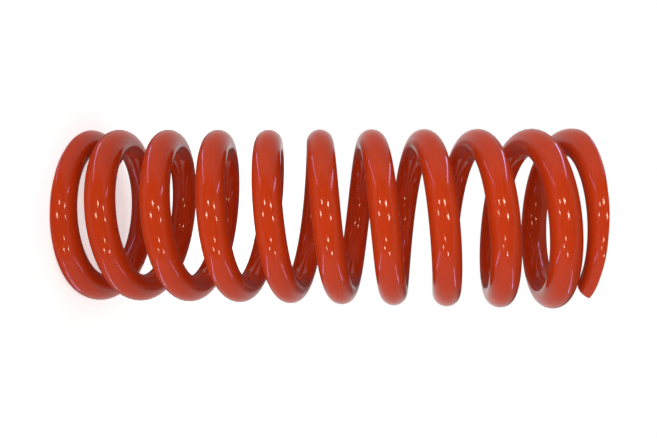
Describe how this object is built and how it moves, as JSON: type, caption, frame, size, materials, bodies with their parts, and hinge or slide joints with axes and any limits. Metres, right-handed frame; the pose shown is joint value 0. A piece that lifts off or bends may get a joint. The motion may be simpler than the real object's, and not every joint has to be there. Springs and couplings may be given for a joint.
{
  "type": "suspension coil spring",
  "caption": "Right-hand helical compression spring of round wire with closed and ground ends, powder coated, that carries a vehicle's load around its damper.",
  "frame": {"origin": "on the coil's axis, in the plane of the lower ground end", "axes": "+Z along the coil's axis towards the upper ground end; the lower wire tip lies 147 degrees from +X, counted towards +Y"},
  "size_m": [0.0926, 0.0926, 0.254],
  "materials": {
    "powder_coat": "gloss red-orange powder coat over spring steel"
  },
  "bodies": {
    "root": {"coil_spring": "powder_coat"}
  },
  "joints": []
}
